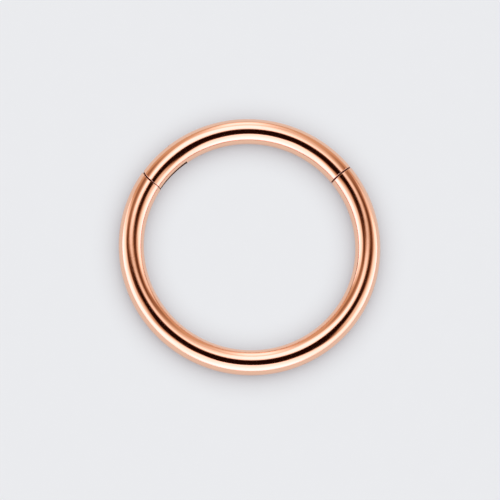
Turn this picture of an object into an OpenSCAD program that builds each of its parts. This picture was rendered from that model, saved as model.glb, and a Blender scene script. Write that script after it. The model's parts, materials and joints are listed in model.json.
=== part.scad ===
// Hinged segment ring in round wire, lying on its side.
// One round ring of wire is cut in two: a long hoop, and a short segment that swings out on a
// pin and snaps shut over a tongue. The origin is the ring's middle. X runs across the ring,
// Y up to the segment, and Z up through the opening. Directions are in degrees, counted from
// +X towards +Y.

/* [Ring] */
// Clear diameter of the ring's opening
inner_d = 10; // [8:0.5:12]
// Thickness of the round wire
wire_d = 1.2; // [1.1:0.05:1.3]

/* [Seams] */
// Direction of the seam at the hinge
hinge_at = 146.65; // [142:0.05:150]
// Direction of the seam at the catch
catch_at = 38.3; // [34:0.1:44]
// Gap between the hoop and the segment at the hinge seam
hinge_gap = 0.02; // [0.015:0.005:0.03]
// Gap between the hoop and the segment at the catch seam when the ring is shut
catch_gap = 0.04; // [0.02:0.005:0.05]
// Width of the broken edge round each face of the catch seam
edge_break = 0.04; // [0.02:0.005:0.05]

/* [Hinge] */
// Thickness of the tongues at both ends of the hoop
tongue_t = 0.4; // [0.36:0.01:0.42]
// Diameter of the hinge pin
pin_d = 0.32; // [0.28:0.01:0.34]
// Distance of the pin from the hinge seam, along the wire
pin_inset = 0.88; // [0.84:0.01:0.94]
// Radius of the round end of the hinge tongue, past the pin
tail_r = 0.8; // [0.7:0.01:0.84]

/* [Catch] */
// Length of the catch tongue beyond the catch seam
catch_tongue_l = 0.5; // [0.44:0.01:0.52]
// Thickness of the walls that close the catch pocket on the ring's outer and inner sides
catch_wall = 0.24; // [0.22:0.01:0.26]
// Radius of the ball-shaped bumps that the closure snaps over
bump_r = 0.12; // [0.1:0.01:0.14]

/* [Hidden] */
$fn = 96;

rose_gold = [0.86, 0.60, 0.50];
pin_rose_gold = [0.80, 0.54, 0.44];

// Clearances
slot_play = 0.025;      // between a tongue and each face of its slot or pocket
pin_play = 0.02;        // round the pin in the tongue, where it turns
press_play = 0.004;     // round the pin in the fork, where it is held
tail_play = 0.25;       // between the hinge tongue's tail and the closed end of its slot
tongue_inset = 0.08;    // from the wire's surface in to the edges of the hinge tongue
catch_end_play = 0.1;   // between the catch tongue's tip and the closed end of its pocket
catch_side_play = 0.03; // between the catch tongue and the side walls of its pocket
bevel_play = 1.5;       // degrees by which the tongue's bevel is steeper than the pocket's way off it
bump_play = 0.01;       // round a bump in its dimple
bump_bite = 0.004;      // how far a bump stands past the pocket's face, which is the click

wire_r = wire_d / 2;
bend_r = (inner_d + wire_d) / 2;
pin_r = pin_d / 2;
slot_w = tongue_t + 2 * slot_play;
root_l = 0.3;           // length of a tongue inside the end it grows from
lap_l = 0.5;            // length of the hoop's wire past the hinge seam, before it is cut
lead = 0.06;            // width of the corner taken off the catch tongue's tip
over = 1;               // how far a cutter stands out past the wire

// A point at a distance and direction from the ring's middle
function polar(d, a) = [d * cos(a), d * sin(a)];

// The turn that a length of wire takes round the ring
function turn(length) = length / bend_r * 180 / PI;

// The pin, and the round of the hinge seam about it on the ring's outer side
pin_at = hinge_at - turn(pin_inset);
pin_c = polar(bend_r, pin_at);
seam_r = norm(polar(bend_r, hinge_at) - pin_c);
pin_drop = bend_r * (1 - cos(turn(pin_inset)));  // how far inward the pin lies of the seam's middle
fork_reach = tail_r + tail_play;

// The catch pocket's half width, and the catch tongue's, seen along the ring's axis
pocket_x = wire_r - catch_wall;
tongue_x = pocket_x - catch_side_play;

// The segment swings off the catch tongue aslant, so the tongue's inner side is bevelled to let the
// pocket's inner wall pass
mouth = polar(bend_r - pocket_x, catch_at);
swing_off = catch_at - atan2(mouth.y - pin_c.y, mouth.x - pin_c.x);
bevel = tan(swing_off + bevel_play);
bump_x = bevel * catch_tongue_l / 4;  // middle of the tongue at half its length

// Placing

// At the pin, X runs on along the segment and Y outward
module at_pin() {
    translate([pin_c.x, pin_c.y, 0]) rotate([0, 0, pin_at - 90]) children();
}

// At the hinge seam, X runs into the segment and Y outward
module at_hinge_seam() {
    rotate([0, 0, hinge_at - 90]) translate([0, bend_r, 0]) children();
}

// At the catch seam, X runs outward and Y on along the segment
module at_catch_seam() {
    rotate([0, 0, catch_at]) translate([bend_r, 0, 0]) children();
}

// Lifts a piece onto the surface that the ring lies on
module on_surface() {
    translate([0, 0, wire_r]) children();
}

// Shapes used more than once

// A stretch of round rod on the ring's circle, from one direction to another
module ring_rod(rod_r, from, to) {
    rotate_extrude(start = from, angle = to - from)
        translate([bend_r, 0]) circle(rod_r);
}

// A flat layer, centred on the wire's mid plane, of the outline given
module layer(t) {
    linear_extrude(t, center = true) children();
}

// Cutter that breaks the edge of a wire end at Z = 0, whose metal lies below it
module edge_cutter() {
    reach = wire_r / 2;
    rotate_extrude()
        polygon([
            [wire_r - edge_break - reach, reach],
            [wire_r + reach, reach],
            [wire_r + reach, -edge_break - reach]
        ]);
}

// The two bumps on the faces of the catch tongue, or the dimples that take them
module bumps(play) {
    rise = slot_w / 2 + bump_bite - bump_r;
    for (side = [-1, 1])
        translate([bump_x, catch_tongue_l / 2, side * rise]) sphere(bump_r + play);
}

// Hoop

// The hollow of the hinge end: flat on the inner side, and round about the pin on the outer
module hinge_end_cutter() {
    layer(2 * over) {
        at_hinge_seam() translate([-hinge_gap / 2, -over - pin_drop]) square(over);
        at_pin() circle(seam_r + hinge_gap / 2);
    }
}

module catch_end_cutter() {
    at_catch_seam() translate([0, -catch_gap / 2, 0]) {
        translate([0, over, 0]) cube(2 * over, center = true);
        rotate([-90, 0, 0]) edge_cutter();
    }
}

// Tongue that fills the mouth of the fork and turns on the pin
module hinge_tongue() {
    intersection() {
        ring_rod(wire_r - tongue_inset, pin_at - turn(over), hinge_at + turn(root_l));
        at_pin() difference() {
            layer(tongue_t) union() {
                circle(tail_r);
                translate([-2 * over, -over]) square(2 * over);
            }
            cylinder(r = pin_r + pin_play, h = 2 * over, center = true);
        }
    }
}

// Tongue that the free end of the segment snaps over, bevelled on its inner side
module catch_tongue() {
    at_catch_seam() {
        layer(tongue_t) polygon([
            [-tongue_x, -root_l],
            [tongue_x, -root_l],
            [tongue_x, catch_tongue_l - lead],
            [tongue_x - lead, catch_tongue_l],
            [bevel * catch_tongue_l - tongue_x, catch_tongue_l],
            [-tongue_x, 0]
        ]);
        bumps(0);
    }
}

module hoop() {
    color(rose_gold) on_surface() union() {
        difference() {
            ring_rod(wire_r, hinge_at - turn(lap_l), catch_at + 360);
            hinge_end_cutter();
            catch_end_cutter();
        }
        hinge_tongue();
        catch_tongue();
    }
}

// Segment

// What the hinge seam takes off the segment's end: all but a flat inner half and a round about the pin
module segment_end_cutter() {
    layer(2 * over) difference() {
        at_pin() translate([-2 * over, -over]) square(2 * over);
        at_pin() circle(seam_r - hinge_gap / 2);
        at_hinge_seam() translate([hinge_gap / 2, -2 * over - pin_drop]) square(2 * over);
    }
}

// Fork slot, open on both sides and at the end, with a closed end past the tongue's tail
module fork_slot() {
    at_pin() layer(slot_w)
        translate([-2 * over, -2 * over]) square([2 * over + fork_reach, 3 * over]);
}

// Catch pocket, open at the end only, so that it is hidden when the ring is shut
module catch_pocket() {
    at_catch_seam() {
        layer(slot_w)
            translate([-pocket_x, -over])
                square([2 * pocket_x, over + catch_tongue_l + catch_end_play]);
        bumps(bump_play);
    }
}

module segment() {
    color(rose_gold) on_surface() difference() {
        ring_rod(wire_r, catch_at, hinge_at + turn(root_l));
        segment_end_cutter();
        at_catch_seam() translate([0, catch_gap / 2, 0]) {
            translate([0, -over, 0]) cube(2 * over, center = true);
            rotate([90, 0, 0]) edge_cutter();
        }
        fork_slot();
        catch_pocket();
        at_pin() cylinder(r = pin_r + press_play, h = 2 * over, center = true);
    }
}

// Hinge pin, with both ends dressed flush with the round of the wire
module hinge_pin() {
    color(pin_rose_gold) on_surface() intersection() {
        ring_rod(wire_r, pin_at - turn(pin_d), pin_at + turn(pin_d));
        at_pin() cylinder(r = pin_r, h = 2 * over, center = true);
    }
}

hoop();
segment();
hinge_pin();
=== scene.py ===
"""Looks of a hinged segment ring in polished rose gold, lying on a pale floor in a light tent.

The ring is one round wire bent to a circle and cut in two: a long hoop, and a short segment that
swings out on a pin. Lengths are in millimetres until a mesh is finished, and directions round the
ring are counted from +X towards +Y, as in the frame.
"""
import json
import logging
import math
from collections.abc import Sequence
from dataclasses import dataclass
from enum import Enum, IntEnum
from typing import Protocol

import bmesh
import bpy
import numpy as np
from mathutils import Matrix, Vector


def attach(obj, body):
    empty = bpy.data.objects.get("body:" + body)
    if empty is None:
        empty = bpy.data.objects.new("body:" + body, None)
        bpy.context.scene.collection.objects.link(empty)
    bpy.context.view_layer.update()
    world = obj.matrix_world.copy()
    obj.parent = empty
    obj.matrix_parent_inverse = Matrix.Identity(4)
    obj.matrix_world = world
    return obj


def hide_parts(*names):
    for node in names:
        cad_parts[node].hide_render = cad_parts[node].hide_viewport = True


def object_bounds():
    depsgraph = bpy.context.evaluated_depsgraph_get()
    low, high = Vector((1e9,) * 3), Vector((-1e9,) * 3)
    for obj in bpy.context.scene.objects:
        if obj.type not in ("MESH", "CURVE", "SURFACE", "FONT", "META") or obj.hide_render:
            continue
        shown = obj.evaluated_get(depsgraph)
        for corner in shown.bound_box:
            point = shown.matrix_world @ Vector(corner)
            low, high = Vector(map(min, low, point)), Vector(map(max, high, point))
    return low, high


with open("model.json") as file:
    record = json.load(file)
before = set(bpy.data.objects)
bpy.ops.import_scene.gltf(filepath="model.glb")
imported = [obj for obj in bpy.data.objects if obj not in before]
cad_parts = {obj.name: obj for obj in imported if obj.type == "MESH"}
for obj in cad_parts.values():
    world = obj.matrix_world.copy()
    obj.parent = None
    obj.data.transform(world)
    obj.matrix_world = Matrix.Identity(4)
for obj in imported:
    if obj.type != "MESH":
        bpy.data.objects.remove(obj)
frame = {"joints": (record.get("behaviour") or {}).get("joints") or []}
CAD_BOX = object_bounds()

MM = 0.001
IMAGE_SIDE_PX = 500
CATCH_AT = math.radians(38.3)
BORE_SIDES = 64
PIN_SIDES = 96
BALL_SUBDIVISIONS = 4
# Edges shorter than this, in millimetres, are slivers that a cut has left
CUT_GRAIN = 1e-5

log = logging.getLogger("segment_ring")


class Body(Enum):
    """The two bodies that move against each other."""

    HOOP = "hoop"
    SEGMENT = "segment"


class Finish(IntEnum):
    """The finishes of a piece, in the order of its material slots."""

    POLISHED = 0
    FILED = 1
    # Sawn faces line the slots, bores and pocket, and their near-black colour is painted shade
    SAWN = 2


class Cut(Enum):
    """What a tool does to the metal that it meets."""

    ADD = "UNION"
    TAKE = "DIFFERENCE"
    KEEP = "INTERSECT"


@dataclass(frozen=True)
class RingShape:
    """The thickness of the wire, and the circle that its centreline is bent to."""

    bend_r: float
    wire_r: float

    @classmethod
    def from_box(cls, low: Vector, high: Vector) -> "RingShape":
        """Reads the ring's sizes off its box.

        Args:
            low: Lowest corner of the whole ring, in metres.
            high: Highest corner of the whole ring, in metres.

        Returns:
            The ring's shape, in millimetres.
        """
        wire_r = round((high.z - low.z) / 2 / MM, 3)
        bend_r = round((high.x - low.x) / 2 / MM, 2) - wire_r
        return cls(bend_r, wire_r)

    def turn(self, length: float) -> float:
        """Returns the angle, in radians, that a length of wire takes round the ring."""
        return length / self.bend_r

    def points(self, rod_r: np.ndarray, around: np.ndarray, direction: np.ndarray) -> np.ndarray:
        """Places points by their distance from the wire's centreline.

        Args:
            rod_r: Distance from the centreline.
            around: Angle round the wire, from the outer side upwards, in radians.
            direction: Direction round the ring, in radians.

        Returns:
            An array of points, one a row.
        """
        rho = self.bend_r + rod_r * np.cos(around)
        height = self.wire_r + rod_r * np.sin(around)
        return np.stack([rho * np.cos(direction), rho * np.sin(direction), height], -1)

    def depth_and_normal(self, points: np.ndarray) -> tuple[np.ndarray, np.ndarray]:
        """Measures points against the wire's centreline.

        Args:
            points: Points, one a row.

        Returns:
            The distance of each point from the centreline, and the direction straight out of it.
        """
        rho = np.hypot(points[:, 0], points[:, 1])
        out = points[:, :2] / rho[:, None]
        away = np.column_stack([
            out * (rho - self.bend_r)[:, None],
            points[:, 2] - self.wire_r,
        ])
        distance = np.linalg.norm(away, axis=1)
        return distance, away / distance[:, None]


class Seam(Protocol):
    """A cut through the wire. A shift moves it along the wire, in the direction of the count."""

    def direction(self, rho: np.ndarray, shift: float) -> np.ndarray:
        """Returns the direction of the cut at each distance from the ring's middle."""

    def facing(self, points: np.ndarray) -> np.ndarray:
        """Returns the way straight out of the cut at each point, towards a higher count."""


@dataclass(frozen=True)
class FlatSeam:
    """A cut square across the wire."""

    at: float

    def direction(self, rho: np.ndarray, shift: float) -> np.ndarray:
        """Returns the direction of the cut at each distance from the ring's middle."""
        return self.at + np.arcsin(shift / rho)

    def facing(self, points: np.ndarray) -> np.ndarray:
        """Returns the way straight out of the cut at each point, towards a higher count."""
        along = np.array([-math.sin(self.at), math.cos(self.at), 0.0])
        return np.broadcast_to(along, points.shape)


@dataclass(frozen=True)
class HingeSeam:
    """A cut that is flat on the ring's inner side and round about the pin on its outer side.

    The round half turns as the ring opens, so its gap is left wider by the ratio of round_spread.
    """

    ring: RingShape
    pin_at: float
    pin_inset: float = 0.88
    round_spread: float = 1.8

    @property
    def at(self) -> float:
        """Direction of the cut where it crosses the wire's centreline."""
        return self.pin_at + self.ring.turn(self.pin_inset)

    @property
    def pin(self) -> np.ndarray:
        """The pin's place, seen from above."""
        return self.ring.bend_r * np.array([math.cos(self.pin_at), math.sin(self.pin_at)])

    @property
    def round_r(self) -> float:
        """Radius of the round half about the pin."""
        return 2 * self.ring.bend_r * math.sin((self.at - self.pin_at) / 2)

    @property
    def flat_x(self) -> float:
        """How far the flat half lies into the segment from the middle of the cut."""
        return self.ring.bend_r * math.sin(self.at - self.pin_at) - self.round_r

    @property
    def flat_top(self) -> float:
        """Height of the flat half's upper end above the ring's middle."""
        return self.ring.bend_r * math.cos(self.at - self.pin_at)

    def direction(self, rho: np.ndarray, shift: float) -> np.ndarray:
        """Works out the direction of the cut at each distance from the ring's middle.

        Args:
            rho: Distances from the ring's middle.
            shift: How far the cut is moved along the wire.

        Returns:
            The direction at each distance, in radians.
        """
        bend_r = self.ring.bend_r
        round_r = self.round_r + shift * self.round_spread
        flat_x = self.flat_x - shift
        cosine = (rho**2 + bend_r**2 - round_r**2) / (2 * rho * bend_r)
        on_round = self.pin_at + np.arccos(np.clip(cosine, -1, 1))
        on_flat = self.at - np.arcsin(flat_x / rho)
        return np.where(rho >= math.hypot(flat_x, self.flat_top), on_round, on_flat)

    def facing(self, points: np.ndarray) -> np.ndarray:
        """Works out the way straight out of the cut at each point, towards a higher count.

        Args:
            points: Points, one a row.

        Returns:
            A vector of length 1 for each point.
        """
        along = np.array([-math.sin(self.at), math.cos(self.at)])
        outward = np.array([math.cos(self.at), math.sin(self.at)])
        from_pin = points[:, :2] - self.pin
        from_pin /= np.linalg.norm(from_pin, axis=1)[:, None]
        is_round = points[:, :2] @ outward >= self.flat_top
        flat = np.where(is_round[:, None], from_pin, along)
        return np.column_stack([flat, np.zeros(len(points))])


@dataclass(frozen=True)
class RodEnd:
    """One end of a length of wire: the cut, the gap left there, and its rounded lip.

    The wire lies on the higher side of the cut where into is 1, and on the lower side where it
    is -1. Directions at the end are counted on by whole turns, so that they are above the start's.
    """

    seam: Seam
    into: int
    half_gap: float = 0.0
    lip: float = 0.0
    turns: int = 0

    def direction(self, rho: np.ndarray, depth: float) -> np.ndarray:
        """Returns the directions of points that lie a depth behind the end's face."""
        shift = self.into * (self.half_gap + depth)
        return self.seam.direction(rho, shift) + self.turns * math.tau


@dataclass
class Rod:
    """A length of round wire on the ring's circle, closed by its two ends."""

    ring: RingShape
    rod_r: float
    start: RodEnd
    end: RodEnd
    sides: int = 128
    step: float = 0.06
    lip_steps: int = 5
    cap_steps: int = 6

    def _around(self) -> np.ndarray:
        """Returns the angles of the points round the wire."""
        return np.arange(self.sides) * math.tau / self.sides

    def _end_loops(self, end: RodEnd) -> list[tuple[np.ndarray, np.ndarray]]:
        """Lays out one end, from the edge of the long skin over the lip to the middle of the face.

        Args:
            end: The end to lay out.

        Returns:
            Distance from the centreline and direction round the ring, for each loop of points.
        """
        around = self._around()
        bends = np.linspace(0, math.pi / 2, self.lip_steps + 1) if end.lip else [0.0]
        loops = [
            (self.rod_r - end.lip * (1 - math.cos(bend)), end.lip * (1 - math.sin(bend)))
            for bend in bends
        ]
        face_r = self.rod_r - end.lip
        loops += [(face_r * (1 - i / self.cap_steps), 0.0) for i in range(1, self.cap_steps)]
        made = []
        for radius, depth in loops:
            rho = self.ring.bend_r + radius * np.cos(around)
            made.append((np.full(self.sides, radius), end.direction(rho, depth)))
        return made

    def _pole(self, end: RodEnd) -> np.ndarray:
        """Returns the middle point of an end's face."""
        direction = end.direction(np.array([self.ring.bend_r]), 0.0)
        return self.ring.points(np.zeros(1), np.zeros(1), direction)[0]

    def build(self, name: str) -> bpy.types.Object:
        """Builds the rod as one closed mesh.

        Args:
            name: Name of the object.

        Returns:
            The rod, in millimetres.
        """
        around = self._around()
        head = self._end_loops(self.start)
        tail = self._end_loops(self.end)
        first, last = head[0][1], tail[0][1]
        length = float(np.mean(last - first)) * self.ring.bend_r
        count = max(2, round(length / self.step))
        skin_r = np.full(self.sides, self.rod_r)
        skin = [(skin_r, first + (last - first) * i / count) for i in range(1, count)]
        loops = head[::-1] + skin + tail
        points = np.concatenate([self.ring.points(r, around, d) for r, d in loops])
        poles = np.array([self._pole(self.start), self._pole(self.end)])
        faces, finishes = self._faces(len(loops), len(points))
        return mesh_object(name, np.concatenate([points, poles]), faces, finishes)

    def _faces(self, loops: int, poles_from: int) -> tuple[list[tuple[int, ...]], list[int]]:
        """Joins the loops of points by faces.

        Args:
            loops: Number of loops.
            poles_from: Index of the first of the two pole points.

        Returns:
            The faces, and the finish of each.
        """
        sides, caps = self.sides, self.cap_steps - 1
        faces: list[tuple[int, ...]] = []
        finishes: list[int] = []
        for row in range(loops - 1):
            is_face = row < caps or row >= loops - 1 - caps
            for i in range(sides):
                j = (i + 1) % sides
                low, high = row * sides, (row + 1) * sides
                faces.append((low + i, high + i, high + j, low + j))
                finishes.append(Finish.FILED if is_face else Finish.POLISHED)
        top = (loops - 1) * sides
        for i in range(sides):
            j = (i + 1) % sides
            faces.append((poles_from, i, j))
            faces.append((poles_from + 1, top + j, top + i))
            finishes += [Finish.FILED, Finish.FILED]
        return faces, finishes


def put_in_scene(name: str, data: bpy.types.ID) -> bpy.types.Object:
    """Makes an object of a mesh, a lamp or a camera.

    Args:
        name: Name of the object.
        data: What it shows.

    Returns:
        The object, in the scene.
    """
    made = bpy.data.objects.new(name, data)
    bpy.context.scene.collection.objects.link(made)
    return made


def add_slots(mesh: bpy.types.Mesh) -> None:
    """Gives a mesh a blank material for each finish, so that a cut keeps each face's own.

    Args:
        mesh: The mesh.
    """
    for finish in Finish:
        name = "blank_" + finish.name.lower()
        blank = bpy.data.materials.get(name) or bpy.data.materials.new(name)
        mesh.materials.append(blank)


def mesh_object(
    name: str,
    points: np.ndarray,
    faces: Sequence[Sequence[int]],
    finishes: Sequence[int] | int,
) -> bpy.types.Object:
    """Makes an object from points and faces, with the faces turned outward.

    Args:
        name: Name of the object and its mesh.
        points: Points, one a row.
        faces: Indices of the points of each face.
        finishes: Finish of each face, or one for all.

    Returns:
        The object, in the scene.
    """
    mesh = bpy.data.meshes.new(name)
    mesh.from_pydata(points.tolist(), [], faces)
    add_slots(mesh)
    if isinstance(finishes, int):
        finishes = [finishes] * len(mesh.polygons)
    mesh.polygons.foreach_set("material_index", list(finishes))
    sheet = bmesh.new()
    sheet.from_mesh(mesh)
    bmesh.ops.recalc_face_normals(sheet, faces=sheet.faces)
    sheet.to_mesh(mesh)
    sheet.free()
    return put_in_scene(name, mesh)


def inset(outline: np.ndarray, width: float) -> np.ndarray:
    """Moves a convex outline inward.

    Args:
        outline: Points of the outline, two numbers a row, in the direction of the count.
        width: How far each side moves.

    Returns:
        The points of the smaller outline.
    """
    along = np.roll(outline, -1, axis=0) - outline
    along /= np.linalg.norm(along, axis=1)[:, None]
    out = np.column_stack([along[:, 1], -along[:, 0]])
    before = np.roll(out, 1, axis=0)
    spread = 1 + np.sum(out * before, axis=1)
    return outline - width * (out + before) / spread[:, None]


def block(
    name: str,
    outline: np.ndarray,
    half_height: float,
    place: Matrix,
    finish: Finish,
    edge: float = 0.0,
) -> bpy.types.Object:
    """Makes a flat block of an outline, as high above its own plane as below it.

    Args:
        name: Name of the object.
        outline: Points of the outline, two numbers a row, in the direction of the count.
        half_height: Half the block's height.
        place: Where the outline's own origin and axes go.
        finish: The finish that its faces leave.
        edge: Width of the broken edge round both faces.

    Returns:
        The block, closed.
    """
    count = len(outline)
    levels = [(outline, -half_height), (outline, half_height)]
    if edge:
        small = inset(outline, edge)
        shoulder = half_height - edge
        levels = [
            (small, -half_height), (outline, -shoulder), (outline, shoulder), (small, half_height)
        ]
    points = np.concatenate([
        np.column_stack([loop, np.full(count, height)]) for loop, height in levels
    ])
    faces = [
        (row + i, row + (i + 1) % count, row + count + (i + 1) % count, row + count + i)
        for row in range(0, count * (len(levels) - 1), count)
        for i in range(count)
    ]
    top = count * (len(levels) - 1)
    faces += [tuple(range(count))[::-1], tuple(range(top, top + count))]
    made = mesh_object(name, points, faces, finish)
    made.data.transform(place)
    return made


def arc(radius: float, start: float, end: float, steps: int) -> np.ndarray:
    """Returns points on an arc, both ends among them, with its angles in radians."""
    angles = np.linspace(start, end, steps + 1)
    return radius * np.column_stack([np.cos(angles), np.sin(angles)])


def circle(radius: float, sides: int) -> np.ndarray:
    """Returns points evenly round a circle."""
    return arc(radius, 0, math.tau, sides)[:-1]


def box_outline(low: tuple[float, float], high: tuple[float, float]) -> np.ndarray:
    """Returns the four corners of a rectangle in order."""
    return np.array([low, (high[0], low[1]), high, (low[0], high[1])])


def ball(
    name: str, centre: Vector, radius: float, place: Matrix, finish: Finish
) -> bpy.types.Object:
    """Makes a round ball of many small faces at a place of its own.

    Args:
        name: Name of the object.
        centre: Middle of the ball, on its own axes.
        radius: Its radius.
        place: Where those axes go.
        finish: The finish that its faces leave.

    Returns:
        The ball.
    """
    sheet = bmesh.new()
    bmesh.ops.create_icosphere(sheet, subdivisions=BALL_SUBDIVISIONS, radius=radius)
    bmesh.ops.translate(sheet, verts=sheet.verts, vec=centre)
    mesh = bpy.data.meshes.new(name)
    sheet.to_mesh(mesh)
    sheet.free()
    mesh.transform(place)
    add_slots(mesh)
    mesh.polygons.foreach_set("material_index", [finish] * len(mesh.polygons))
    return put_in_scene(name, mesh)


def work(piece: bpy.types.Object, steps: Sequence[tuple[Cut, bpy.types.Object]]) -> None:
    """Adds and takes away metal in order, and clears the tools away.

    Args:
        piece: The piece that is worked.
        steps: What each tool does, and the tool.
    """
    for cut, tool in steps:
        modifier = piece.modifiers.new(cut.name.lower(), "BOOLEAN")
        modifier.object = tool
        modifier.operation = cut.value
        modifier.solver = "MANIFOLD"
    graph = bpy.context.evaluated_depsgraph_get()
    mesh = bpy.data.meshes.new_from_object(piece.evaluated_get(graph))
    piece.modifiers.clear()
    piece.data = mesh
    mesh.name = piece.name
    sheet = bmesh.new()
    sheet.from_mesh(mesh)
    bmesh.ops.dissolve_degenerate(sheet, dist=CUT_GRAIN, edges=sheet.edges)
    sheet.to_mesh(mesh)
    sheet.free()
    for _, tool in steps:
        bpy.data.objects.remove(tool)


def read_vectors(items: bpy.types.bpy_prop_collection, attribute: str) -> np.ndarray:
    """Reads a vector that every point, corner or face of a mesh has.

    Args:
        items: The mesh's points, corners or faces.
        attribute: Name of the vector.

    Returns:
        The vectors, one a row.
    """
    found = np.empty(len(items) * 3, np.float32)
    items.foreach_get(attribute, found)
    return found.reshape(-1, 3).astype(float)


def read_numbers(items: bpy.types.bpy_prop_collection, attribute: str) -> np.ndarray:
    """Reads a whole number that every point, corner or face of a mesh has.

    Args:
        items: The mesh's points, corners or faces.
        attribute: Name of the number.

    Returns:
        The numbers.
    """
    found = np.empty(len(items), np.int32)
    items.foreach_get(attribute, found)
    return found


@dataclass(frozen=True)
class Skin:
    """The exact round of the wire, which sets how its polished faces shade.

    An end's lip is looked for within lip_reach of it, in radians round the ring.
    """

    ring: RingShape
    ends: tuple[RodEnd, ...]
    sharp_angle: float = math.radians(25)
    lip_reach: float = 0.1

    def apply(self, piece: bpy.types.Object) -> None:
        """Shades the wire and its lips as the true round that their points lie on.

        Args:
            piece: A finished piece, in millimetres.
        """
        mesh = piece.data
        mesh.polygons.foreach_set("use_smooth", [True] * len(mesh.polygons))
        mesh.set_sharp_from_angle(angle=self.sharp_angle)
        normals = read_vectors(mesh.corner_normals, "vector")
        points = read_vectors(mesh.vertices, "co")[read_numbers(mesh.loops, "vertex_index")]
        corners = read_numbers(mesh.polygons, "loop_total")
        finishes = read_numbers(mesh.polygons, "material_index")
        polished = np.repeat(finishes, corners) == Finish.POLISHED
        normals[polished] = self._polished(points[polished])
        mesh.normals_split_custom_set(normals.tolist())

    def _polished(self, points: np.ndarray) -> np.ndarray:
        """Works out the normal at points of the wire's skin and its lips.

        Args:
            points: Points, one a row.

        Returns:
            The normal at each point.
        """
        depth, normal = self.ring.depth_and_normal(points)
        around_ring = np.arctan2(points[:, 1], points[:, 0])
        for end in self.ends:
            if not end.lip:
                continue
            facing = end.seam.facing(points) * -end.into
            rho = np.hypot(points[:, 0], points[:, 1])
            edge = end.direction(rho, end.lip) - end.turns * math.tau
            gap = (around_ring - edge) * end.into
            gap = (gap + math.pi) % math.tau - math.pi
            lean = np.clip((self.ring.wire_r - depth) / end.lip, 0, 1)
            on_lip = (gap < 0) & (gap > -self.lip_reach) & (lean > 0)
            cosine = np.where(on_lip, 1 - lean, 1.0)
            sine = np.sqrt(1 - cosine**2)
            normal = normal * cosine[:, None] + facing * sine[:, None]
            normal /= np.linalg.norm(normal, axis=1)[:, None]
        return normal


def at_pin(seam: HingeSeam) -> Matrix:
    """Returns the axes at the pin: X on along the segment, Y outward."""
    lift = Vector((seam.pin[0], seam.pin[1], seam.ring.wire_r))
    return Matrix.Translation(lift) @ Matrix.Rotation(seam.pin_at - math.pi / 2, 4, "Z")


def at_catch(ring: RingShape, seam: FlatSeam) -> Matrix:
    """Returns the axes at the catch seam: X outward, Y on along the segment."""
    outward = Matrix.Translation(Vector((ring.bend_r, 0, ring.wire_r)))
    return Matrix.Rotation(seam.at, 4, "Z") @ outward


@dataclass(frozen=True)
class Joinery:
    """The sizes that the hoop and the segment share at the hinge and at the catch.

    A name ends in t for a thickness, w for a width, l for a length and r for a radius. A play is
    the room that is left beside a part, and over is how far a cutter reaches past the metal.
    """

    ring: RingShape
    hinge: HingeSeam
    catch: FlatSeam
    hinge_half_gap: float = 0.018
    hinge_lip: float = 0.01
    catch_half_gap: float = 0.034
    catch_lip: float = 0.02
    tongue_t: float = 0.4
    tongue_edge: float = 0.02
    slot_w: float = 0.45
    tongue_r: float = 0.52
    tail_r: float = 0.8
    fork_reach: float = 1.05
    pin_r: float = 0.16
    pin_play: float = 0.02
    press_play: float = 0.001
    catch_l: float = 0.5
    catch_end_play: float = 0.1
    catch_side_play: float = 0.03
    catch_wall: float = 0.24
    catch_lead: float = 0.06
    bevel_play: float = math.radians(1.5)
    bump_r: float = 0.12
    bump_bite: float = 0.004
    bump_play: float = 0.01
    over: float = 1.0

    @property
    def pocket_x(self) -> float:
        """Half the width of the catch pocket, seen from above."""
        return self.ring.wire_r - self.catch_wall

    @property
    def bevel(self) -> float:
        """How steeply the catch tongue's inner side leans, so that the pocket swings off it.

        Returns:
            How far the side moves outward for each length along the tongue.
        """
        reach = self.ring.bend_r - self.pocket_x
        mouth = reach * np.array([math.cos(self.catch.at), math.sin(self.catch.at)])
        from_pin = mouth - self.hinge.pin
        swing_off = self.catch.at - math.atan2(from_pin[1], from_pin[0])
        return math.tan(swing_off + self.bevel_play)

    def ends(self, hinge_into: int) -> tuple[RodEnd, RodEnd]:
        """Returns the ends of the wire at the hinge and at the catch, on one side of the seams."""
        turns = 1 if hinge_into > 0 else 0
        return (
            RodEnd(self.hinge, hinge_into, self.hinge_half_gap, self.hinge_lip),
            RodEnd(self.catch, -hinge_into, self.catch_half_gap, self.catch_lip, turns),
        )

    def bumps(self, play: float, finish: Finish) -> list[bpy.types.Object]:
        """Makes the balls of the two bumps on the catch tongue, or of the dimples for them.

        Args:
            play: How much larger than a bump each ball is.
            finish: The finish that the balls leave.

        Returns:
            The two balls.
        """
        rise = self.slot_w / 2 + self.bump_bite - self.bump_r
        half_l = self.catch_l / 2
        # The tongue's middle moves outward by half as much as its inner side
        middle_x = self.bevel * half_l / 2
        place = at_catch(self.ring, self.catch)
        centres = [Vector((middle_x, half_l, side * rise)) for side in (-1, 1)]
        return [ball("bump", centre, self.bump_r + play, place, finish) for centre in centres]


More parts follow.
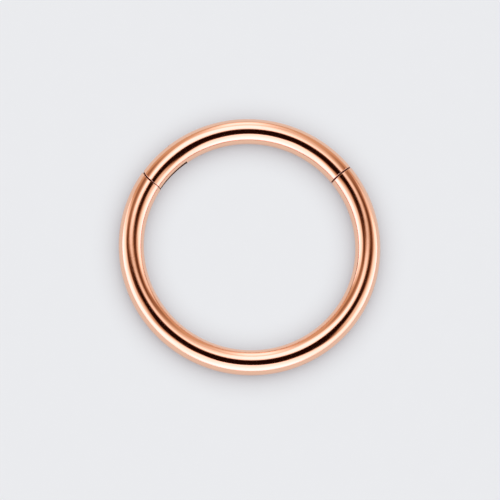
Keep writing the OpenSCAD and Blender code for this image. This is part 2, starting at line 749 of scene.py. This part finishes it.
@dataclass
class Hoop:
    """The long arc of the ring, with the hinge tongue at one end and the catch tongue at the other."""

    joinery: Joinery
    root_l: float = 0.3
    tail_steps: int = 64
    name: str = "hoop_wire"

    def _hinge_tongue(self) -> bpy.types.Object:
        """Makes the tongue that fills the mouth of the fork and turns on the pin.

        Returns:
            The tongue, with its root inside the wire.
        """
        made = self.joinery
        ring, seam = made.ring, made.hinge
        start = RodEnd(FlatSeam(seam.pin_at - ring.turn(made.over)), 1)
        end = RodEnd(FlatSeam(seam.at + ring.turn(self.root_l)), -1)
        tongue = Rod(ring, made.tongue_r, start, end, cap_steps=2).build("hinge_tongue")
        # The tongue's rim, sunk in the fork's slot, takes the near-black sawn colour as painted shade
        rim = [Finish.SAWN] * len(tongue.data.polygons)
        tongue.data.polygons.foreach_set("material_index", rim)
        tail = arc(made.tail_r, math.pi / 2, -math.pi / 2, self.tail_steps)
        root = np.array([(-2 * made.over, -made.tail_r), (-2 * made.over, made.tail_r)])
        outline = np.concatenate([tail, root])[::-1]
        place = at_pin(seam)
        half_t = made.tongue_t / 2
        plate = block("plate", outline, half_t, place, Finish.FILED, made.tongue_edge)
        hole = circle(made.pin_r + made.pin_play, BORE_SIDES)
        bore = block("bore", hole, made.over, place, Finish.SAWN)
        work(tongue, [(Cut.KEEP, plate), (Cut.TAKE, bore)])
        return tongue

    def _catch_tongue(self) -> bpy.types.Object:
        """Makes the tongue that the free end of the segment snaps over, bevelled on its inner side.

        Returns:
            The tongue with its two bumps, and with its root inside the wire.
        """
        made = self.joinery
        side, tip, lead = made.pocket_x - made.catch_side_play, made.catch_l, made.catch_lead
        outline = np.array([
            (-side, -self.root_l),
            (side, -self.root_l),
            (side, tip - lead),
            (side - lead, tip),
            (made.bevel * tip - side, tip),
            (-side, 0.0),
        ])
        place = at_catch(made.ring, made.catch)
        half_t = made.tongue_t / 2
        tongue = block("catch_tongue", outline, half_t, place, Finish.FILED, made.tongue_edge)
        work(tongue, [(Cut.ADD, bump) for bump in made.bumps(0, Finish.FILED)])
        return tongue

    def build(self) -> bpy.types.Object:
        """Builds the hoop with its two tongues.

        Returns:
            The piece, in millimetres.
        """
        made = self.joinery
        ends = made.ends(1)
        piece = Rod(made.ring, made.ring.wire_r, *ends).build(self.name)
        work(piece, [(Cut.ADD, self._hinge_tongue()), (Cut.ADD, self._catch_tongue())])
        Skin(made.ring, ends).apply(piece)
        return piece


@dataclass
class Segment:
    """The short arc that swings out, with the fork for the hinge and the pocket for the catch."""

    joinery: Joinery
    name: str = "segment_wire"

    def _fork_slot(self) -> bpy.types.Object:
        """Makes the cutter of the fork slot, open on both sides and at the end.

        Returns:
            The cutter.
        """
        made = self.joinery
        reach = 2 * made.over
        outline = box_outline((-reach, -reach), (made.fork_reach, made.over))
        return block("fork_slot", outline, made.slot_w / 2, at_pin(made.hinge), Finish.SAWN)

    def _pin_bore(self) -> bpy.types.Object:
        """Makes the cutter of the bore that holds the pin.

        Returns:
            The cutter.
        """
        made = self.joinery
        outline = circle(made.pin_r + made.press_play, PIN_SIDES)
        return block("pin_bore", outline, made.over, at_pin(made.hinge), Finish.SAWN)

    def _catch_pocket(self) -> bpy.types.Object:
        """Makes the cutter of the catch pocket, open at the end only.

        Returns:
            The cutter.
        """
        made = self.joinery
        depth = made.catch_l + made.catch_end_play
        outline = box_outline((-made.pocket_x, -made.over), (made.pocket_x, depth))
        place = at_catch(made.ring, made.catch)
        return block("catch_pocket", outline, made.slot_w / 2, place, Finish.SAWN)

    def build(self) -> bpy.types.Object:
        """Builds the segment with its fork, bore, pocket and dimples.

        Returns:
            The piece, in millimetres.
        """
        made = self.joinery
        ends = made.ends(-1)[::-1]
        piece = Rod(made.ring, made.ring.wire_r, *ends).build(self.name)
        dimples = [(Cut.TAKE, dimple) for dimple in made.bumps(made.bump_play, Finish.SAWN)]
        cutters = (self._fork_slot(), self._catch_pocket(), self._pin_bore())
        work(piece, [*((Cut.TAKE, cutter) for cutter in cutters), *dimples])
        Skin(made.ring, ends).apply(piece)
        return piece


@dataclass
class HingePin:
    """The pin through the fork, with both ends dressed flush with the round of the wire."""

    joinery: Joinery
    sides: int = PIN_SIDES
    rings: int = 8
    name: str = "hinge_pin_dressed"

    def build(self) -> bpy.types.Object:
        """Builds the pin.

        Returns:
            The piece, in millimetres.
        """
        made = self.joinery
        ring = made.ring
        radii = made.pin_r * np.arange(1, self.rings + 1) / self.rings
        circles = [circle(radius, self.sides) for radius in radii]
        flat = made.hinge.pin + np.concatenate([np.zeros((1, 2)), *circles])
        rise = np.sqrt(ring.wire_r**2 - (np.hypot(flat[:, 0], flat[:, 1]) - ring.bend_r) ** 2)
        top = np.column_stack([flat, ring.wire_r + rise])
        foot = np.column_stack([flat, ring.wire_r - rise])
        count = len(flat)
        faces: list[tuple[int, ...]] = []
        finishes: list[int] = []
        for i in range(self.sides):
            j = (i + 1) % self.sides
            for base in (0, count):
                faces.append((base, base + 1 + i, base + 1 + j))
                finishes.append(Finish.POLISHED)
                for row in range(self.rings - 1):
                    low = base + 1 + row * self.sides
                    high = low + self.sides
                    faces.append((low + i, high + i, high + j, low + j))
                    finishes.append(Finish.POLISHED)
            rim = 1 + (self.rings - 1) * self.sides
            faces.append((rim + i, count + rim + i, count + rim + j, rim + j))
            finishes.append(Finish.SAWN)
        piece = mesh_object(self.name, np.concatenate([top, foot]), faces, finishes)
        Skin(ring, ()).apply(piece)
        return piece


Colour = tuple[float, float, float]
Socket = bpy.types.NodeSocket
Feed = Socket | float | Sequence[float]


@dataclass
class NodeBench:
    """Lays out shader nodes for one material or world."""

    tree: bpy.types.NodeTree

    def node(self, kind: str, *values: Feed, **settings: object) -> bpy.types.Node:
        """Adds a node, sets its properties and feeds its sockets in order.

        Args:
            kind: The node's type name.
            values: What its first sockets are linked to, or set to.
            settings: Properties of the node by name.

        Returns:
            The node.
        """
        made = self.tree.nodes.new(kind)
        for name, setting in settings.items():
            setattr(made, name, setting)
        for socket, value in zip(made.inputs, values):
            self.feed(socket, value)
        return made

    def feed(self, socket: Socket, value: Feed) -> None:
        """Links a socket to another, or sets its value.

        Args:
            socket: The socket that is fed.
            value: The socket that it is linked to, or what it is set to.
        """
        if isinstance(value, Socket):
            self.tree.links.new(value, socket)
        else:
            socket.default_value = value

    def math(self, operation: str, *values: Socket | float) -> Socket:
        """Works out a number from others."""
        return self.node("ShaderNodeMath", *values, operation=operation).outputs[0]

    def vector(self, operation: str, *values: Socket | Sequence[float]) -> Socket:
        """Works out a vector from others, or a number where the operation gives one.

        Args:
            operation: Name of the operation.
            values: What it works on.

        Returns:
            The result.
        """
        made = self.node("ShaderNodeVectorMath", *values, operation=operation)
        is_number = operation in {"LENGTH", "DOT_PRODUCT"}
        return made.outputs["Value" if is_number else "Vector"]

    def join(self, *parts: Socket | float) -> Socket:
        """Makes a vector of three numbers."""
        return self.node("ShaderNodeCombineXYZ", *parts).outputs[0]

    def split(self, vector: Socket) -> tuple[Socket, Socket, Socket]:
        """Returns the three numbers of a vector."""
        made = self.node("ShaderNodeSeparateXYZ", vector)
        return made.outputs[0], made.outputs[1], made.outputs[2]

    def place_mm(self) -> Socket:
        """Returns the place on the piece, in millimetres."""
        place = self.node("ShaderNodeTexCoord").outputs["Object"]
        return self.vector("MULTIPLY", place, (1 / MM,) * 3)

    def smooth(
        self, value: Socket, low: float, high: float, to: tuple[float, float] = (0, 1)
    ) -> Socket:
        """Maps a number from one range to another with soft ends.

        Args:
            value: The number.
            low: Where the first end of the new range is reached.
            high: Where the second end is reached.
            to: The new range.

        Returns:
            The mapped number.
        """
        values = (value, low, high, *to)
        made = self.node("ShaderNodeMapRange", *values, interpolation_type="SMOOTHSTEP")
        return made.outputs["Result"]

    def noise(
        self, vector: Socket, scale: float, detail: float = 2, depth: Socket | None = None
    ) -> Socket:
        """Adds a noise pattern and returns its number.

        Args:
            vector: Where the pattern is looked up.
            scale: Size of the pattern, larger for finer.
            detail: How many finer layers it has.
            depth: A fourth coordinate, where there is one.

        Returns:
            The pattern's number, about 0.5 in the middle.
        """
        made = self.node("ShaderNodeTexNoise", noise_dimensions="3D" if depth is None else "4D")
        self.feed(made.inputs["Vector"], vector)
        self.feed(made.inputs["Scale"], scale)
        self.feed(made.inputs["Detail"], detail)
        if depth is not None:
            self.feed(made.inputs["W"], depth)
        return made.outputs[0]

    def ramp(self, value: Socket, stops: Sequence[tuple[float, Colour]]) -> Socket:
        """Maps a number to a colour through a row of stops.

        Args:
            value: The number, from 0 to 1.
            stops: Place and colour of each stop.

        Returns:
            The colour.
        """
        made = self.node("ShaderNodeValToRGB", value)
        elements = made.color_ramp.elements
        while len(elements) < len(stops):
            elements.new(1.0)
        for element, (place, colour) in zip(elements, stops):
            element.position = place
            element.color = (*colour, 1)
        return made.outputs[0]

    def mix(self, factor: Socket, first: Colour, second: Colour) -> Socket:
        """Blends two colours by a number."""
        return self.ramp(factor, [(0.0, first), (1.0, second)])

    def relief(self, shader: bpy.types.Node, height: Socket, depth: float) -> None:
        """Gives a surface the relief of a pattern.

        Args:
            shader: The surface's shader.
            height: The pattern.
            depth: How deep it goes, in metres.
        """
        bump = self.node("ShaderNodeBump")
        bump.inputs["Distance"].default_value = depth
        self.feed(bump.inputs["Height"], height)
        self.feed(shader.inputs["Normal"], bump.outputs[0])


def new_material(name: str) -> tuple[bpy.types.Material, NodeBench, bpy.types.Node]:
    """Starts a material.

    Args:
        name: Its name.

    Returns:
        The material, the bench for its nodes, and its shader.
    """
    made = bpy.data.materials.new(name)
    made.use_nodes = True
    return made, NodeBench(made.node_tree), made.node_tree.nodes["Principled BSDF"]


@dataclass(frozen=True)
class PolishedGold:
    """Mirror-polished rose gold: hairlines along the wire, stray scratches and faint waves.

    A scale is how often a pattern changes in a millimetre: for the scratches, level with the ring
    and up through it. The hairlines are finer across the wire than along it by hairline_fineness.
    A range is the part of a pattern that shows. A rough is what a pattern adds to the roughness, a
    height is its share of the relief, and the relief's depth is in metres.
    """

    colour: Colour = (0.963, 0.585, 0.41)
    deep_colour: Colour = (0.935, 0.54, 0.37)
    roughness: float = 0.07
    cloud_scale: float = 0.9
    cloud_height: float = 6.0
    hairline_scale: float = 5.0
    hairline_fineness: float = 8.0
    hairline_range: tuple[float, float] = (0.3, 0.75)
    hairline_rough: float = 0.05
    fleck_scale: float = 14.0
    fleck_range: tuple[float, float] = (0.55, 0.8)
    fleck_rough: float = 0.03
    scratch_turns: tuple[float, ...] = (0.4, 1.5, 2.6)
    scratch_along_scale: tuple[float, float] = (1.4, 0.5)
    scratch_across_scale: tuple[float, float] = (55.0, 20.0)
    scratch_range: tuple[float, float] = (0.76, 0.84)
    scratch_rough: float = 0.06
    scratch_height: float = 0.4
    relief_depth: float = 3.0e-7
    name: str = "mirror_rose_gold"

    def _scratches(self, bench: NodeBench, place: Socket) -> Socket:
        """Lays fine stray scratches over the metal, in a few directions.

        Args:
            bench: Where the nodes go.
            place: Place in space, in millimetres.

        Returns:
            1 in a scratch and 0 elsewhere.
        """
        found: Socket | float = 0.0
        long, long_up = self.scratch_along_scale
        fine, fine_up = self.scratch_across_scale
        for turn in self.scratch_turns:
            cosine, sine = math.cos(turn), math.sin(turn)
            along = bench.vector("DOT_PRODUCT", place, (long * cosine, long * sine, long_up))
            across = bench.vector("DOT_PRODUCT", place, (-fine * sine, fine * cosine, fine_up))
            lines = bench.noise(bench.join(along, across, turn), 1.0, detail=0)
            found = bench.math("MAXIMUM", bench.smooth(lines, *self.scratch_range), found)
        return found

    def _wire_places(self, bench: NodeBench) -> tuple[Socket, Socket, Socket]:
        """Works out places on the wire, in millimetres.

        Args:
            bench: Where the nodes go.

        Returns:
            The place in space, a vector that is drawn out along the wire, and its fourth number.
        """
        place = bench.place_mm()
        x, y, z = bench.split(place)
        outward = bench.join(x, y, 0.0)
        rho = bench.vector("LENGTH", outward)
        way_x, way_y, _ = bench.split(bench.vector("NORMALIZE", outward))
        drawn = bench.join(way_x, way_y, bench.math("MULTIPLY", z, self.hairline_fineness))
        return place, drawn, bench.math("MULTIPLY", rho, self.hairline_fineness)

    def build(self) -> bpy.types.Material:
        """Builds the material.

        Returns:
            The material.
        """
        made, bench, shader = new_material(self.name)
        place, drawn, depth = self._wire_places(bench)
        cloud = bench.noise(place, self.cloud_scale, detail=3)
        hairline = bench.noise(drawn, self.hairline_scale, detail=4, depth=depth)
        fleck = bench.noise(place, self.fleck_scale)
        scratch = self._scratches(bench, place)
        bench.feed(shader.inputs["Base Color"], bench.mix(cloud, self.deep_colour, self.colour))
        shader.inputs["Metallic"].default_value = 1.0
        rough_to = (self.roughness, self.roughness + self.hairline_rough)
        rough = bench.smooth(hairline, *self.hairline_range, rough_to)
        rough = bench.math("ADD", rough, bench.math("MULTIPLY", scratch, self.scratch_rough))
        fleck_rough = bench.smooth(fleck, *self.fleck_range, (0.0, self.fleck_rough))
        bench.feed(shader.inputs["Roughness"], bench.math("ADD", rough, fleck_rough))
        height = bench.math("MULTIPLY_ADD", cloud, self.cloud_height, hairline)
        groove = bench.math("MULTIPLY", scratch, self.scratch_height)
        bench.relief(shader, bench.math("SUBTRACT", height, groove), self.relief_depth)
        return made


@dataclass(frozen=True)
class CutGold:
    """Rose gold as the file or the saw leaves it, with lines where the teeth ran.

    A scale is how often a pattern changes in a millimetre, and groove_depth is in metres.
    """

    name: str
    colour: Colour
    deep_colour: Colour
    edge_colour: Colour
    roughness: float
    groove_depth: float
    metallic: float = 1.0
    specular: float = 0.5
    cloud_scale: float = 6.0
    teeth_scale: tuple[float, float, float] = (6.0, 6.0, 60.0)
    teeth_range: tuple[float, float] = (0.3, 0.7)
    teeth_rough: float = 0.15

    def build(self) -> bpy.types.Material:
        """Builds the material.

        Returns:
            The material.
        """
        made, bench, shader = new_material(self.name)
        place = bench.place_mm()
        teeth = bench.noise(bench.vector("MULTIPLY", place, self.teeth_scale), 1.0, detail=3)
        cloud = bench.noise(place, self.cloud_scale, detail=3)
        bench.feed(shader.inputs["Base Color"], bench.mix(cloud, self.deep_colour, self.colour))
        shader.inputs["Metallic"].default_value = self.metallic
        shader.inputs["Specular IOR Level"].default_value = self.specular
        shader.inputs["Specular Tint"].default_value = (*self.edge_colour, 1)
        rough_to = (self.roughness, self.roughness + self.teeth_rough)
        bench.feed(shader.inputs["Roughness"], bench.smooth(teeth, *self.teeth_range, rough_to))
        bench.relief(shader, teeth, self.groove_depth)
        return made


FILED_GOLD = CutGold(
    name="filed_rose_gold",
    colour=(0.75, 0.38, 0.24),
    deep_colour=(0.6, 0.29, 0.18),
    edge_colour=(0.6, 0.5, 0.45),
    roughness=0.34,
    groove_depth=1.2e-6,
)
# The saw cuts are matt and painted almost black: painted shade for the narrow slots, bores, pocket and
# dimples that they line
SAWN_GOLD_PAINTED_SHADE = CutGold(
    name="sawn_rose_gold_painted_shade",
    colour=(0.13, 0.05, 0.028),
    deep_colour=(0.07, 0.026, 0.014),
    edge_colour=(0.08, 0.08, 0.08),
    roughness=0.7,
    groove_depth=1.5e-6,
    metallic=0.0,
    specular=0.0,
)


@dataclass(frozen=True)
class TentPatch:
    """A soft-edged patch of the light tent, placed as seen from the ring.

    The places are degrees on a flat map of the tent: its middle is straight up, and the horizon
    is the circle of 90 degrees round it. A patch is an even box that fades out all round. Half is
    half of the box's width and height, turn is how far it is turned, and level is its brightness.
    """

    name: str
    middle: tuple[float, float]
    half: tuple[float, float]
    fade: float
    level: float
    turn: float = 0.0

    def cover(self, bench: NodeBench, map_x: Socket, map_y: Socket) -> Socket:
        """Works out how much of the tent the patch covers at a place on the map.

        Args:
            bench: Where the nodes go.
            map_x: Degrees to the right on the map.
            map_y: Degrees up on the map.

        Returns:
            1 inside the patch and 0 outside, with a soft edge between.
        """
        cosine, sine = math.cos(math.radians(self.turn)), math.sin(math.radians(self.turn))
        dx = bench.math("SUBTRACT", map_x, self.middle[0])
        dy = bench.math("SUBTRACT", map_y, self.middle[1])
        along = bench.math("MULTIPLY_ADD", dx, cosine, bench.math("MULTIPLY", dy, sine))
        across = bench.math("MULTIPLY_ADD", dy, cosine, bench.math("MULTIPLY", dx, -sine))
        past = [
            bench.math("MAXIMUM", bench.math("SUBTRACT", bench.math("ABSOLUTE", offset), half), 0.0)
            for offset, half in zip((along, across), self.half)
        ]
        far = bench.vector("LENGTH", bench.join(*past, 0.0))
        return bench.smooth(far, 0.0, self.fade, (1, 0))


@dataclass(frozen=True)
class LightTent:
    """The white tent that the ring is photographed in, with the dark opening over it.

    Each patch lies over those before it, and the stops give the light's colour at each level.
    """

    base_level: float = 0.46
    patches: tuple[TentPatch, ...] = (
        TentPatch("left wall", (-86, 0), (20, 20), 28, 0.84),
        TentPatch("right wall", (86, 4), (20, 22), 26, 0.82),
        TentPatch("front wall", (0, -71), (50, 32), 14, 0.86, -4),
        TentPatch("left front", (-68, -32), (8, 25), 20, 0.95, 30),
        TentPatch("right front", (68, -37), (8, 25), 20, 0.9, -30),
        TentPatch("front glow", (0, -84), (34, 12), 26, 1.0),
        TentPatch("left glow", (-88, 23), (4, 18), 18, 1.0),
        TentPatch("right glow", (90, -2), (3, 18), 18, 1.0),
        TentPatch("left corner", (-81, 41), (6, 5), 12, 0.84),
        TentPatch("right corner", (71, 42), (15, 3), 10, 0.62),
        TentPatch("left gap", (-47, -9), (3, 7), 8, 0.62),
        TentPatch("right gap", (46, -12), (4, 5), 8, 0.6),
        TentPatch("left pillar", (-15, 60), (1, 12), 8, 0.54),
        TentPatch("right pillar", (20, 48), (1, 24), 8, 0.55),
        TentPatch("top light", (-3, 31), (7, 9), 17, 0.93),
        TentPatch("back strip", (2, 68), (4, 6), 16, 0.88),
        TentPatch("left arm end", (-39, 34), (3, 14), 14, 0.25),
        TentPatch("left arm", (-33, 7), (3, 7), 10, 0.09, 16),
        TentPatch("right arm side", (54, 22), (1, 8), 6, 0.5),
        TentPatch("right arm end", (40, 36), (3, 9), 14, 0.26, -20),
        TentPatch("right arm", (32, 14), (5, 10), 11, 0.13, -20),
        TentPatch("opening left", (-9, -8), (15, 12), 9, 0.0, -15),
        TentPatch("opening right", (16, 2), (9, 6), 8, 0.02, 8),
        TentPatch("opening corner", (28, -24), (5, 2), 7, 0.04),
        TentPatch("opening wide", (5, -12), (23, 11), 8, 0.0),
        TentPatch("opening", (3, -12), (11, 17), 8, 0.0),
    )
    stops: tuple[tuple[float, Colour], ...] = (
        (0.0, (0.012, 0.002, 0.0005)),
        (0.1, (0.1, 0.035, 0.015)),
        (0.2, (0.25, 0.11, 0.06)),
        (0.35, (0.52, 0.32, 0.21)),
        (0.46, (0.69, 0.48, 0.34)),
        (0.62, (1.0, 0.91, 0.88)),
        (0.8, (1.5, 1.35, 1.4)),
        (1.0, (1.9, 1.8, 2.4)),
    )

    def build(self) -> None:
        """Makes the tent the world's light."""
        world = bpy.data.worlds.new("light_tent")
        world.use_nodes = True
        bpy.context.scene.world = world
        bench = NodeBench(world.node_tree)
        way = bench.node("ShaderNodeTexCoord").outputs["Generated"]
        way_x, way_y, way_z = bench.split(way)
        from_top = bench.math("MULTIPLY", bench.math("ARCCOSINE", way_z), 180 / math.pi)
        level_way = bench.vector("NORMALIZE", bench.join(way_x, way_y, 0.0))
        side, back, _ = bench.split(level_way)
        map_x = bench.math("MULTIPLY", from_top, side)
        map_y = bench.math("MULTIPLY", from_top, back)
        level: Socket | float = self.base_level
        for patch in self.patches:
            cover = patch.cover(bench, map_x, map_y)
            cover.node.label = patch.name
            step = bench.math("SUBTRACT", patch.level, level)
            level = bench.math("MULTIPLY_ADD", cover, step, level)
        colour = bench.ramp(level, self.stops)
        shader = world.node_tree.nodes["Background"]
        bench.feed(shader.inputs["Color"], colour)
        shader.inputs["Strength"].default_value = 1.0
        world.cycles_visibility.diffuse = False


@dataclass(frozen=True)
class SoftLamp:
    """A broad lamp overhead that lights the floor, and isn't mirrored in the metal."""

    spread: float = math.radians(114)
    strength: float = math.pi

    def build(self) -> None:
        """Hangs the lamp straight over the ring."""
        data = bpy.data.lights.new("soft_lamp", "SUN")
        data.angle = self.spread
        data.energy = self.strength
        lamp = put_in_scene("soft_lamp", data)
        lamp.visible_camera = False
        lamp.visible_glossy = False
        # The photo's floor shows no light thrown back by the ring
        bpy.context.scene.cycles.caustics_reflective = False


@dataclass(frozen=True)
class Floor:
    """The pale paper that the ring lies on."""

    radius: float = 0.5
    sides: int = 96
    colour: Colour = (0.535, 0.604, 0.621)
    thrown_back: Colour = (0.294, 0.233, 0.24)
    roughness: float = 0.9
    tooth_scale: float = 900.0
    tooth_shade: float = 0.985

    def build(self) -> None:
        """Lays the floor under the ring."""
        rim = np.column_stack([circle(self.radius, self.sides), np.zeros(self.sides)])
        floor = mesh_object("floor", rim, [tuple(range(self.sides))], 0)
        floor.data.materials.clear()
        floor.data.materials.append(self._paper())
        if floor.data.polygons[0].normal.z < 0:
            floor.data.flip_normals()

    def _paper(self) -> bpy.types.Material:
        """Makes matt paper with the faintest tooth.

        Returns:
            The material.
        """
        made, bench, shader = new_material("floor_paper")
        place = bench.node("ShaderNodeTexCoord").outputs["Object"]
        tooth = bench.noise(place, self.tooth_scale)
        darker = tuple(self.tooth_shade * part for part in self.colour)
        bench.feed(shader.inputs["Base Color"], bench.mix(tooth, darker, self.colour))
        # Light that the ring and the tent's walls throw back at the paper
        shader.inputs["Emission Color"].default_value = (*self.thrown_back, 1)
        shader.inputs["Emission Strength"].default_value = 1.0
        shader.inputs["Roughness"].default_value = self.roughness
        shader.inputs["Specular IOR Level"].default_value = 0.0
        return made


@dataclass(frozen=True)
class Backdrop:
    """A plain pale wall round the floor that only the camera sees."""

    radius: float = 0.5
    segments: int = 64
    colour: Colour = (0.823, 0.831, 0.855)

    def build(self) -> None:
        """Stands the wall round the floor."""
        sheet = bmesh.new()
        bmesh.ops.create_uvsphere(
            sheet, u_segments=self.segments, v_segments=self.segments // 2, radius=self.radius
        )
        mesh = bpy.data.meshes.new("backdrop")
        sheet.to_mesh(mesh)
        sheet.free()
        paper, bench, shader = new_material("backdrop_paper")
        paper.node_tree.nodes.remove(shader)
        glow = bench.node("ShaderNodeEmission", (*self.colour, 1))
        output = paper.node_tree.nodes["Material Output"]
        bench.feed(output.inputs["Surface"], glow.outputs[0])
        mesh.materials.append(paper)
        wall = put_in_scene("backdrop", mesh)
        for ray in ("diffuse", "glossy", "transmission", "volume_scatter", "shadow"):
            setattr(wall, f"visible_{ray}", False)


@dataclass(frozen=True)
class PhotoCamera:
    """A long lens that looks down on the ring, leaning a little to its near and left sides.

    The leans are in degrees, and the camera sees from clip_start to clip_end, in metres.
    """

    ring: RingShape
    lean_left: float = 3.6
    lean_near: float = 12.6
    distance: float = 450.0
    ring_r_px: float = 118.45
    middle_px: tuple[float, float] = (249.59, 246.92)
    sensor: float = 36.0
    clip_start: float = 0.01
    clip_end: float = 2.0

    def build(self) -> None:
        """Sets the camera up and makes it the scene's."""
        tilt_x = math.sin(math.radians(self.lean_left))
        tilt_y = math.sin(math.radians(self.lean_near))
        tilt_z = math.sqrt(1 - tilt_x**2 - tilt_y**2)
        axis = Vector((tilt_x, tilt_y, tilt_z))
        ring_x = Vector((1, 0, -tilt_x / tilt_z)).normalized()
        ring_y = axis.cross(ring_x)
        # The rows of the ring's axes, as the camera sees them, are the camera's axes in the frame
        turn = Matrix((ring_x, ring_y, axis)).to_4x4()
        per_px = self.ring.bend_r / self.ring_r_px
        right, up, back = turn.to_3x3().col
        middle = Vector((0, 0, self.ring.wire_r))
        off_x, off_y = (IMAGE_SIDE_PX / 2 - place for place in self.middle_px)
        aim = middle + right * off_x * per_px - up * off_y * per_px
        data = bpy.data.cameras.new("photo_camera")
        data.sensor_width = self.sensor
        data.lens = self.sensor * self.distance / (IMAGE_SIDE_PX * per_px)
        data.clip_start = self.clip_start
        data.clip_end = self.clip_end
        camera = put_in_scene("photo_camera", data)
        camera.matrix_world = Matrix.Translation((aim + back * self.distance) * MM) @ turn
        bpy.context.scene.camera = camera


def dress(
    piece: bpy.types.Object, finishes: Sequence[bpy.types.Material], body: Body, node: str
) -> None:
    """Brings a piece to metres, gives it its finishes and puts it in its node's place.

    Args:
        piece: The piece, in millimetres.
        finishes: Its materials, in the order of Finish.
        body: The body that it rides on.
        node: The solid that it stands for.
    """
    piece.data.transform(Matrix.Scale(MM, 4))
    for slot, finish in enumerate(finishes):
        piece.data.materials[slot] = finish
    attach(piece, body.value)
    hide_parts(node)
    log.info("%s: %d faces, on %s", piece.name, len(piece.data.polygons), body.value)


def main() -> None:
    """Builds the ring and the studio round it."""
    logging.basicConfig(level=logging.INFO, format="%(name)s: %(message)s")
    ring = RingShape.from_box(*CAD_BOX)
    pin_x, pin_y, _ = frame["joints"][0]["pos_m"]
    hinge = HingeSeam(ring, math.atan2(pin_y, pin_x))
    joinery = Joinery(ring, hinge, FlatSeam(CATCH_AT))
    log.info("wire %.3f mm thick, bent to %.3f mm", 2 * ring.wire_r, ring.bend_r)
    PhotoCamera(ring).build()
    finishes = (PolishedGold().build(), FILED_GOLD.build(), SAWN_GOLD_PAINTED_SHADE.build())
    for maker, body, node in (
        (Hoop(joinery), Body.HOOP, "hoop"),
        (Segment(joinery), Body.SEGMENT, "segment"),
        (HingePin(joinery), Body.SEGMENT, "hinge_pin"),
    ):
        dress(maker.build(), finishes, body, node)
    Floor().build()
    Backdrop().build()
    LightTent().build()
    SoftLamp().build()
    bpy.context.scene.view_settings.view_transform = "Standard"


if __name__ == "__main__":
    main()
